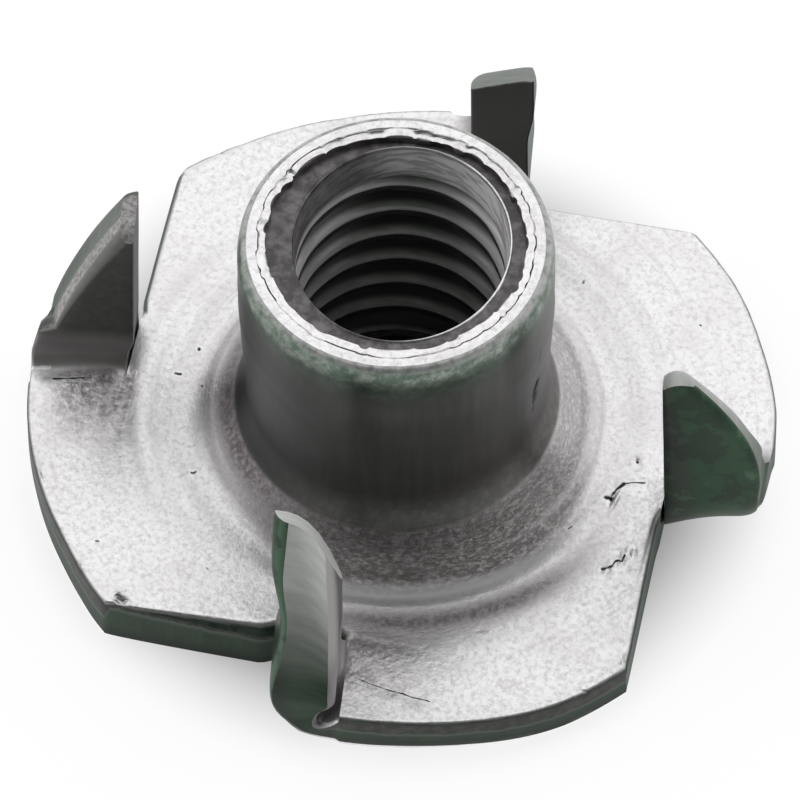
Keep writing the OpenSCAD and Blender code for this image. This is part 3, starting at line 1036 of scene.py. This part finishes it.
# %% Scratches and dents, each as its half width and then its places, in millimetres
# Places are x and y on the sheet, and y and z for the split in the barrel's wall
SCRATCHES = ((0.075, (6.62, -1.82), (6.80, -1.76)), (0.045, (6.72, -1.80), (6.84, -1.45), (7.02, -1.20)),
             (0.022, (7.02, -1.20), (7.38, -1.08), (7.62, -1.04)), (0.050, (6.97, -4.28), (7.20, -4.12)),
             (0.030, (7.20, -4.12), (7.30, -3.92), (7.48, -3.86), (7.52, -3.66)),
             (0.045, (-6.84, 0.04), (-6.70, 0.02)), (0.050, (-6.35, 1.05), (-6.33, 1.02)),
             (0.045, (-5.62, -3.34), (-5.52, -3.28)), (0.035, (8.17, 4.85), (8.19, 4.84)),
             (0.040, (7.26, -0.36), (7.28, -0.37)), (0.030, (5.72, -3.12), (5.80, -3.04)),
             (0.020, (0.75, -9.56), (1.20, -9.66), (1.90, -9.74), (2.90, -9.82)),
             (0.030, (-10.35, -0.96), (-9.90, -0.88), (-9.45, -0.80)))
# Painted highlights along the raised sides of creases
BRIGHT_LIPS = ((0.040, (-11.05, -0.70), (-10.55, -0.59)),
               (0.026, (-10.35, -1.08), (-9.90, -0.99), (-9.25, -0.90)),
               (0.030, (0.55, -9.62), (0.95, -9.72)))
SPLIT_LINES = ((0.085, (-1.12, 6.16), (-1.36, 5.84)), (0.070, (-1.36, 5.84), (-1.18, 5.62), (-1.30, 5.34)),
               (0.060, (-1.26, 5.02), (-1.24, 4.90)), (0.035, (-1.02, 7.60), (-1.10, 7.20)))


def scratch_distance(first, second, routes):
    """Distance from the nearest route in the plane of two coordinates, as a multiple of its half width. An
    uneven amount is added, which makes the edges ragged."""
    flat, nearest = node("CombineXYZ", X=first, Y=second).outputs["Vector"], 10.0
    for width, *route in routes:
        for start, end in zip(route[:-1], route[1:]):
            length = float(np.hypot(end[0] - start[0], end[1] - start[1]))
            along = ((end[0] - start[0]) / length, (end[1] - start[1]) / length, 0)
            offset = way_sum("SUBTRACT", flat, (*start, 0))
            run = way_sum("DOT_PRODUCT", offset, along, "Value")
            run = node("Clamp", Value=run, Max=length).outputs["Result"]
            foot = node("VectorMath", {"operation": "SCALE"}, _0=along, Scale=run).outputs["Vector"]
            nearest = reckon("MINIMUM", nearest, times(way_sum("DISTANCE", offset, foot, "Value"), 1 / width))
    return reckon("ADD", nearest, times(reckon("SUBTRACT", leather, 0.5), 3.0))


scratch = scratch_distance(east, north, SCRATCHES)
lips = scratch_distance(east, north, BRIGHT_LIPS)
split = scratch_distance(north, high, SPLIT_LINES)
print(f"{len(SCRATCHES)} scratches and dents, {len(BRIGHT_LIPS)} bright lips, {len(SPLIT_LINES)} splits")

# %% [markdown]
# The sheet itself is bright with a very fine grain. Where drawing worked it, the grain turned to scales that
# run round the barrel, with a few painted glints, and where folding strained it, to a leathery skin like that
# of an orange. Bands round the barrel lie over all three: duller ones painted darker, as painted shade, and
# others painted near white, as painted highlights. Noise gives each its grain, since no two scales are alike,
# and the marks say how much of each skin a place has.

# %% Sheet
def sheet_skin():
    """Bright sheet with grain and faint clouds and rings, then scales with painted glints, painted darker on
    the barrel's left side as painted shade, leather, bands of painted shade and of painted highlight, and
    rolled edges painted dark green as a painted reflection."""
    ripple = noise(place, 5.2, detail=3, roughness=0.65)
    colour = laid_over(shade(252, 251, 252), shade(230, 227, 229), between(grain, 0.42, 0.75))
    colour = laid_over(colour, shade(230, 227, 229), times(between(clouds, 0.45, 0.75), 0.6))
    colour = laid_over(colour, shade(216, 213, 215), times(between(rings, 0.5, 0.75), 0.4))
    colour = laid_over(colour, shade(214, 211, 213), times(between(ripple, 0.50, 0.66), 0.6))
    specks = noise(place, 2.1, detail=1)
    colour = laid_over(colour, shade(120, 118, 119), between(specks, 0.79, 0.82))
    rough = gone_over(0.30, 0.42, between(grain, 0.35, 0.7))
    sheet = skin(colour, rough, 1.0, times(ripple, 0.012))

    scales = noise(ring_place, 5.6, detail=4, roughness=0.7, stretch=(0.75, 0.75, 1.5))
    glints = noise(ring_place, 8.0, detail=1, stretch=(0.8, 0.8, 1.4))
    scaly = laid_over(shade(132, 126, 127), shade(206, 200, 201), between(scales, 0.42, 0.68))
    # Painted shade: the scales are darker on the barrel's left side
    scaly = laid_over(scaly, shade(84, 79, 80), times(painted_shade_west, 0.8))
    scaly = laid_over(scaly, shade(248, 246, 246), between(glints, 0.72, 0.78))
    sheet = over(sheet, skin(scaly, 0.45, 0.72, times(scales, 0.05)), mark("worked"))

    creased = noise(place, 5.6, detail=4, roughness=0.6)
    leathery = laid_over(shade(144, 138, 139), shade(234, 229, 230), between(creased, 0.32, 0.64))
    share = times(mark("strained"), gone_over(0.6, 1.0, between(mottle, 0.35, 0.6)))
    sheet = over(sheet, skin(leathery, 0.42, 0.5, times(creased, 0.06)), share)

    # Painted shade on a duller finish in the dark bands, and a painted highlight in the bright ones
    dull_and_shade = laid_over(shade(104, 98, 99), shade(158, 152, 153), between(ripple, 0.38, 0.68))
    sheet = over(sheet, skin(dull_and_shade, 0.42, 0.72, times(scales, 0.03)), mark("dull_and_shade"))
    sheet = over(sheet, skin(shade(250, 249, 250), 0.4, 0.3), mark("painted_highlight"))
    # Painted reflection: rolled edges are painted dark green
    rolled = laid_over(shade(34, 52, 38), shade(78, 88, 78), between(mottle, 0.35, 0.75))
    return over(sheet, skin(rolled, 0.5, 0.2), mark("rolled"))


steel = sheet_skin()
print(f"{len(pressed_steel.node_tree.nodes)} nodes with the sheet")

# %% [markdown]
# The flanks of the thread that face up are painted pale, as painted light, with a painted highlight along the
# crest, and the groove is painted dark, as painted shade. The mesh alone would show the turns, but from above
# only a sliver of each flank is in view, so the colours follow the same wave as the thread does.

# %% Finish of the thread
def thread_skin():
    """The flanks that face up are painted pale as painted light, with a painted highlight along the crest, and
    the rest is painted dark as painted shade. The phase is the height in pitches, less the share of a turn
    round the axis, as it is in the mesh."""
    turn = times(reckon("ARCTAN2", north, east), 1 / (2 * np.pi))
    winding = reckon("SUBTRACT", times(high, 1 / PITCH), turn)
    phase = reckon("FRACT", reckon("ADD", winding, THREAD_START), 0.0)
    # Painted light on the flanks that face up, a painted highlight on the crest, and painted shade in the
    # groove
    flank = times(between(phase, 0.10, 0.14), between(phase, 0.29, 0.18))
    crest_highlight = times(between(phase, 0.07, 0.11), between(phase, 0.20, 0.14))
    colour = laid_over(shade(206, 202, 203), shade(246, 243, 244), between(rings, 0.35, 0.7))
    colour = laid_over(shade(92, 90, 90), colour, flank)
    return skin(laid_over(colour, shade(255, 254, 254), crest_highlight), 0.35, 0.25)


# %% [markdown]
# The die ironed the wall of the barrel smooth, with faint streaks where it slid, and the wall is painted dark
# as a painted reflection of dark surroundings. The shoulder is painted green, a painted reflection of green
# surroundings, mottled, darker where it turns down to the wall, and pale next to the ring as a painted
# highlight where it still faces up. The lead-in was cut after the drawing, so it is bright with fine lines
# round it.

# %% Finish of the barrel and bore
def barrel_skins(under):
    """Drawn wall painted dark, and the shoulder painted green as a painted reflection, with a painted
    highlight at the ring and darker where it turns down, then the bore with its ring lines and the ledge."""
    streaks = noise(ring_place, 2.6, detail=3, roughness=0.55, stretch=(1, 1, 0.12))
    # Painted reflection: the wall is painted dark grey
    wall = laid_over(shade(88, 87, 85), shade(98, 97, 95), between(streaks, 0.3, 0.75))
    # Painted shade: the wall and its foot are darker on the barrel's left side
    wall = skin(laid_over(wall, shade(58, 57, 56), painted_shade_west), 0.42, 0.5, times(streaks, 0.002))
    low_wall = laid_over(shade(108, 107, 105), shade(126, 124, 122), between(leather, 0.4, 0.7))
    low_wall = skin(laid_over(low_wall, shade(46, 46, 45), painted_shade_west), 0.42, 0.35)
    wall = over(low_wall, wall, between(high, 2.7, 4.3))
    # Painted shade: the split in the wall is painted near black
    split_share = times(between(split, 1.7, 0.9), between(east, 0.0, 0.5))
    wall["colour"] = laid_over(wall["colour"], shade(12, 12, 12), split_share)
    steel = over(under, wall, mark("drawn"))
    # Painted reflection: the shoulder is green, and darker where it turns down to the wall
    green_reflection = laid_over(shade(94, 114, 99), shade(172, 180, 172), between(mottle, 0.35, 0.75))
    green_reflection = laid_over(green_reflection, shade(42, 60, 46), times(between(down_barrel, -5.5, -4.9), 0.8))
    steel = over(steel, skin(green_reflection, 0.36, 0.65), mark("shoulder"))
    # Painted highlight: pale next to the ring, where the shoulder still faces up
    upturned_highlight = skin(laid_over(shade(206, 206, 205), shade(150, 156, 150), between(leather, 0.4, 0.7)), 0.4, 0.2)
    upturned_share = times(mark("shoulder"), between(down_barrel, -5.68, -5.95))
    steel = over(steel, upturned_highlight, upturned_share)

    lines = noise(ring_place, 11.0, detail=2, roughness=0.6, stretch=(0.05, 0.05, 1.0))
    turned_steel = laid_over(shade(205, 201, 202), shade(255, 254, 255), between(lines, 0.42, 0.56))
    steel = over(steel, thread_skin(), mark("bored"))
    lead_in = times(mark("bored"), between(high, 9.0, 9.2))
    steel = over(steel, skin(turned_steel, 0.42, 0.05, times(lines, 0.02)), lead_in)
    seat = laid_over(shade(84, 81, 82), shade(128, 124, 125), between(mottle, 0.35, 0.7))
    return over(steel, skin(seat, 0.4, 0.6), mark("ledge"))


steel = barrel_skins(steel)
print(f"{len(pressed_steel.node_tree.nodes)} nodes with the barrel")

# %% [markdown]
# Folding turned the underside of the sheet outward and the upper side inward. The outer faces are painted
# green, a painted reflection of green surroundings, and the inner faces are painted dark grey, as painted
# shade from the barrel. Each face could have its own material, but they meet on rounded edges where one has to
# fade into the other. `prong_place` tells the nodes how far across and up a prong a place lies, so that the
# painted light on the edges follows each prong's own outline.

# %% Finish of the prong faces
def prong_skins(under):
    """Inner faces painted dark grey as painted shade, and paler in the fold as painted light, with a painted
    highlight on the rolled edge. Outer faces painted green as a painted reflection, greyer at the straight
    edge, and lighter along the curved one as a painted highlight."""
    # Painted shade: the inner faces are dark grey, with a painted highlight on the rolled edge
    inner = laid_over(shade(106, 106, 103), shade(118, 117, 114), between(leather, 0.38, 0.75))
    rolled_edge_highlight = times(between(prong_out, 0.78, 0.98), edge_light)
    inner = laid_over(inner, shade(196, 194, 192), rolled_edge_highlight)
    # Painted light: paler low in the fold
    inner = laid_over(shade(170, 165, 166), inner, between(high, 2.7, 3.5))
    steel = over(under, skin(inner, 0.45, 0.25), mark("inner"))
    uneven = reckon("ADD", prong_out, times(clouds, 0.35))
    # Painted reflection: the outer faces are green, with a painted highlight along the curved edge
    outer = laid_over(shade(58, 66, 58), shade(46, 76, 53), between(uneven, 0.30, 0.55))
    lit_edge = times(between(uneven, 0.86, 1.05), between(edge_light, 0.85, 0.95))
    outer = laid_over(outer, shade(78, 104, 83), lit_edge)
    patches = noise(place, 0.9, detail=4, roughness=0.65)
    outer = laid_over(outer, shade(32, 42, 34), times(between(patches, 0.48, 0.58), 0.6))
    outer = laid_over(outer, shade(80, 108, 85), times(between(patches, 0.42, 0.33), 0.6))
    return over(steel, skin(outer, 0.45, 0.7), mark("outer"))


steel = prong_skins(steel)
print(f"{len(pressed_steel.node_tree.nodes)} nodes with the prongs")

# %% [markdown]
# A shear first cuts the sheet cleanly and then tears the rest, so each sheared edge has a smooth band and a
# rough one, with a ragged line between them. `edge_place` measures along the edge and down it: the noise
# that it carries is drawn out down the edge, as the marks of a punch are.

# %% Finish of the sheared edges
def sheared_skins(under):
    """A torn grey band above, a ragged pale line, and a smooth band below, painted green as a painted
    reflection and darker towards the bottom. Up the prongs both are painted paler, as painted light."""
    ragged = reckon("ADD", fall, times(drag, 0.22))
    below = reckon("SUBTRACT", ragged, reckon("ADD", band, 0.11))
    # Painted reflection: the smooth band is green, and darker towards the bottom
    smooth = laid_over(shade(32, 54, 37), shade(50, 80, 56), between(drag, 0.3, 0.75))
    smooth = laid_over(smooth, shade(22, 36, 24), between(fall, 0.55, 1.0))
    # Painted light: both bands are paler up the prongs
    half_lit = laid_over(shade(128, 133, 128), shade(156, 160, 155), between(drag, 0.25, 0.75))
    smooth = laid_over(smooth, half_lit, times(between(prong_up, 0.05, 0.55), edge_light))
    fully_lit = laid_over(shade(206, 208, 205), shade(236, 237, 235), between(drag, 0.25, 0.75))
    smooth = laid_over(smooth, fully_lit, times(between(prong_up, 0.35, 0.9), edge_light))
    torn = laid_over(shade(48, 49, 46), shade(80, 80, 76), between(leather, 0.38, 0.66))
    torn_up = laid_over(shade(126, 122, 122), shade(192, 188, 188), between(grain, 0.32, 0.66))
    curved = reckon("MAXIMUM", between(prong_out, 0.4, 0.6), between(prong_up, 0.98, 1.0))
    torn_up = laid_over(shade(90, 90, 87), torn_up, curved)
    torn = laid_over(torn, torn_up, between(prong_up, 0.02, 0.2))
    line = laid_over(smooth, shade(112, 120, 112), times(between(below, 0.16, 0.02), 0.7))
    colour = laid_over(torn, line, between(below, -0.02, 0.015))
    return over(under, skin(colour, 0.5, 0.3, times(drag, 0.012)), mark("sheared"))


steel = sheared_skins(steel)

# %% Cracks and scratches, laid over all of it: painted shade in the cracks, dents and scratches, and painted highlights along their raised lips
steel["colour"] = laid_over(steel["colour"], shade(30, 29, 29), mark("crack"))
on_sheet = times(between(high, 1.0, 1.2), between(high, 3.2, 2.8))
halo = reckon("MAXIMUM", times(between(scratch, 3.2, 1.8), 0.4), between(lips, 1.6, 0.6))
steel["colour"] = laid_over(steel["colour"], shade(252, 251, 252), times(halo, on_sheet))
dark = times(between(scratch, 1.5, 0.4), on_sheet)
steel["colour"] = laid_over(steel["colour"], shade(52, 49, 50), dark)

# %% Put the finish on the shader
FINE_GRAIN = 0.002          # height of the grain that all skins share, in millimetres
steel_shader = pressed_steel.node_tree.nodes["Principled BSDF"]
put(steel["colour"], steel_shader.inputs["Base Color"])
put(steel["rough"], steel_shader.inputs["Roughness"])
put(steel["metal"], steel_shader.inputs["Metallic"])
height_map = times(reckon("ADD", steel["relief"], times(grain, FINE_GRAIN)), MM)
bump = node("Bump", Height=height_map, Strength=1.0, Distance=1.0)
put(bump.outputs["Normal"], steel_shader.inputs["Normal"])
steel_mesh.materials.append(pressed_steel)
print(f"{len(pressed_steel.node_tree.nodes)} nodes in the steel")

# %% [markdown]
# ## Floor, light and camera
#
# The nut lies on white paper. A quarter of its white is its own colour, which shows the shadow of the nut, and
# the rest is added for what the camera and the steel see. A brighter lamp could whiten it too, but it would
# burn out the steel. Nothing is added under the nut, where the bore and the open underside would mirror it,
# and the added white only fades in just past the rim, which paints a soft shadow round the nut.

# %% Floor
FLOOR = 1.5                 # half its side, in metres
PAPER = 0.26                # share of the light that the paper throws back
ADDED = 0.85                # white that is added for what the camera and the steel see
UNDER_NUT = (6, 12)         # distances from the middle within which nothing is added, and past which all is
floor_mesh = bpy.data.meshes.new("studio_floor")
floor_corners = [(-FLOOR, -FLOOR, 0), (FLOOR, -FLOOR, 0), (FLOOR, FLOOR, 0), (-FLOOR, FLOOR, 0)]
floor_mesh.from_pydata(floor_corners, [], [(0, 1, 2, 3)])
floor = bpy.data.objects.new("studio_floor", floor_mesh)
bpy.context.scene.collection.objects.link(floor)
paper = bpy.data.materials.new("studio_paper")
paper.use_nodes = True
paper_shader = paper.node_tree.nodes["Principled BSDF"]
paper_shader.inputs["Base Color"].default_value = (PAPER, PAPER, PAPER, 1)
paper_shader.inputs["Roughness"].default_value = 1.0
paper_shader.inputs["Specular IOR Level"].default_value = 0.0
paper_shader.inputs["Emission Color"].default_value = (1, 1, 1, 1)
bench["tree"] = paper.node_tree
ray = node("LightPath")
seen = reckon("MAXIMUM", ray.outputs["Is Camera Ray"], ray.outputs["Is Glossy Ray"])
seen = reckon("MAXIMUM", seen, ray.outputs["Is Transmission Ray"])
floor_place = node("TexCoord").outputs["Object"]
out_from_nut = node("VectorMath", {"operation": "LENGTH"}, _0=floor_place).outputs["Value"]
# Painted shadow: the added white fades in only past the rim of the nut
open_floor = between(out_from_nut, UNDER_NUT[0] * MM, UNDER_NUT[1] * MM)
put(times(times(seen, open_floor), ADDED), paper_shader.inputs["Emission Strength"])
floor_mesh.materials.append(paper)
print(f"floor {2 * FLOOR:.0f} m across")

# %% [markdown]
# A shiny part shows its room, so the room is the light: a wide pale studio behind and above, and a dark
# side in front, where the camera stands. Faces that lie flat then shine, and faces that turn to the front
# fall dark. Lamps could do it too, but they would leave hard spots on the steel.

# %% World
AZIMUTH, ELEVATION, ROLL = np.radians([11.92, 55.85, -0.4])    # of the camera
DARK_ELEVATION = np.radians(40)         # of the middle of the dark side
PALE_ROOM, DARK_ROOM = (1.0, 1.0, 1.0, 1), (0.012, 0.022, 0.014, 1)
DARK_EDGE = (0.50, 0.80)    # cosines of the angles from its middle where the dark side starts and is full


def direction(azimuth, elevation):
    """Unit vector towards a camera at that azimuth and elevation, in radians."""
    flat = np.cos(elevation)
    return Vector((np.sin(azimuth) * flat, -np.cos(azimuth) * flat, np.sin(elevation)))


world = bpy.data.worlds.new("studio")
bpy.context.scene.world = world
world.use_nodes = True
bench["tree"] = world.node_tree
dark_middle = direction(AZIMUTH, DARK_ELEVATION)
toward = way_sum("DOT_PRODUCT", node("TexCoord").outputs["Generated"], dark_middle, "Value")
room = laid_over(PALE_ROOM, DARK_ROOM, between(toward, *DARK_EDGE))
put(room, world.node_tree.nodes["Background"].inputs["Color"])
dark_share = (1 - DARK_EDGE[1]) / 2     # a cap of a ball takes up this share of it
print(f"the room is fully dark over {100 * dark_share:.0f} % of what is round the nut")

# %% [markdown]
# The camera stands a third of a metre away with a long lens, so the nut is drawn with little perspective.
# It looks down steeply, which shows the thread as well as the prongs.

# %% Camera
LENS, SENSOR = 540.0, 36.0              # focal length and width of the film, in millimetres
DISTANCE = 356.5                        # from the place that it looks at, in millimetres
AIM = Vector((0, 0, 2.33))              # that place, on the axis of the nut
camera_data = bpy.data.cameras.new("camera")
camera_data.lens = LENS
camera_data.sensor_width = SENSOR
camera_data.clip_end = 100
camera = bpy.data.objects.new("camera", camera_data)
bpy.context.scene.collection.objects.link(camera)
sight = direction(AZIMUTH, ELEVATION)
camera.location = (AIM + sight * DISTANCE) * MM
roll = Matrix.Rotation(ROLL, 3, "Z").to_quaternion()
camera.rotation_euler = (sight.to_track_quat("Z", "Y") @ roll).to_euler()
bpy.context.scene.camera = camera
bpy.context.scene.view_settings.view_transform = "Standard"
print(f"camera {DISTANCE:.0f} mm away, {np.degrees(ELEVATION):.0f} degrees up")
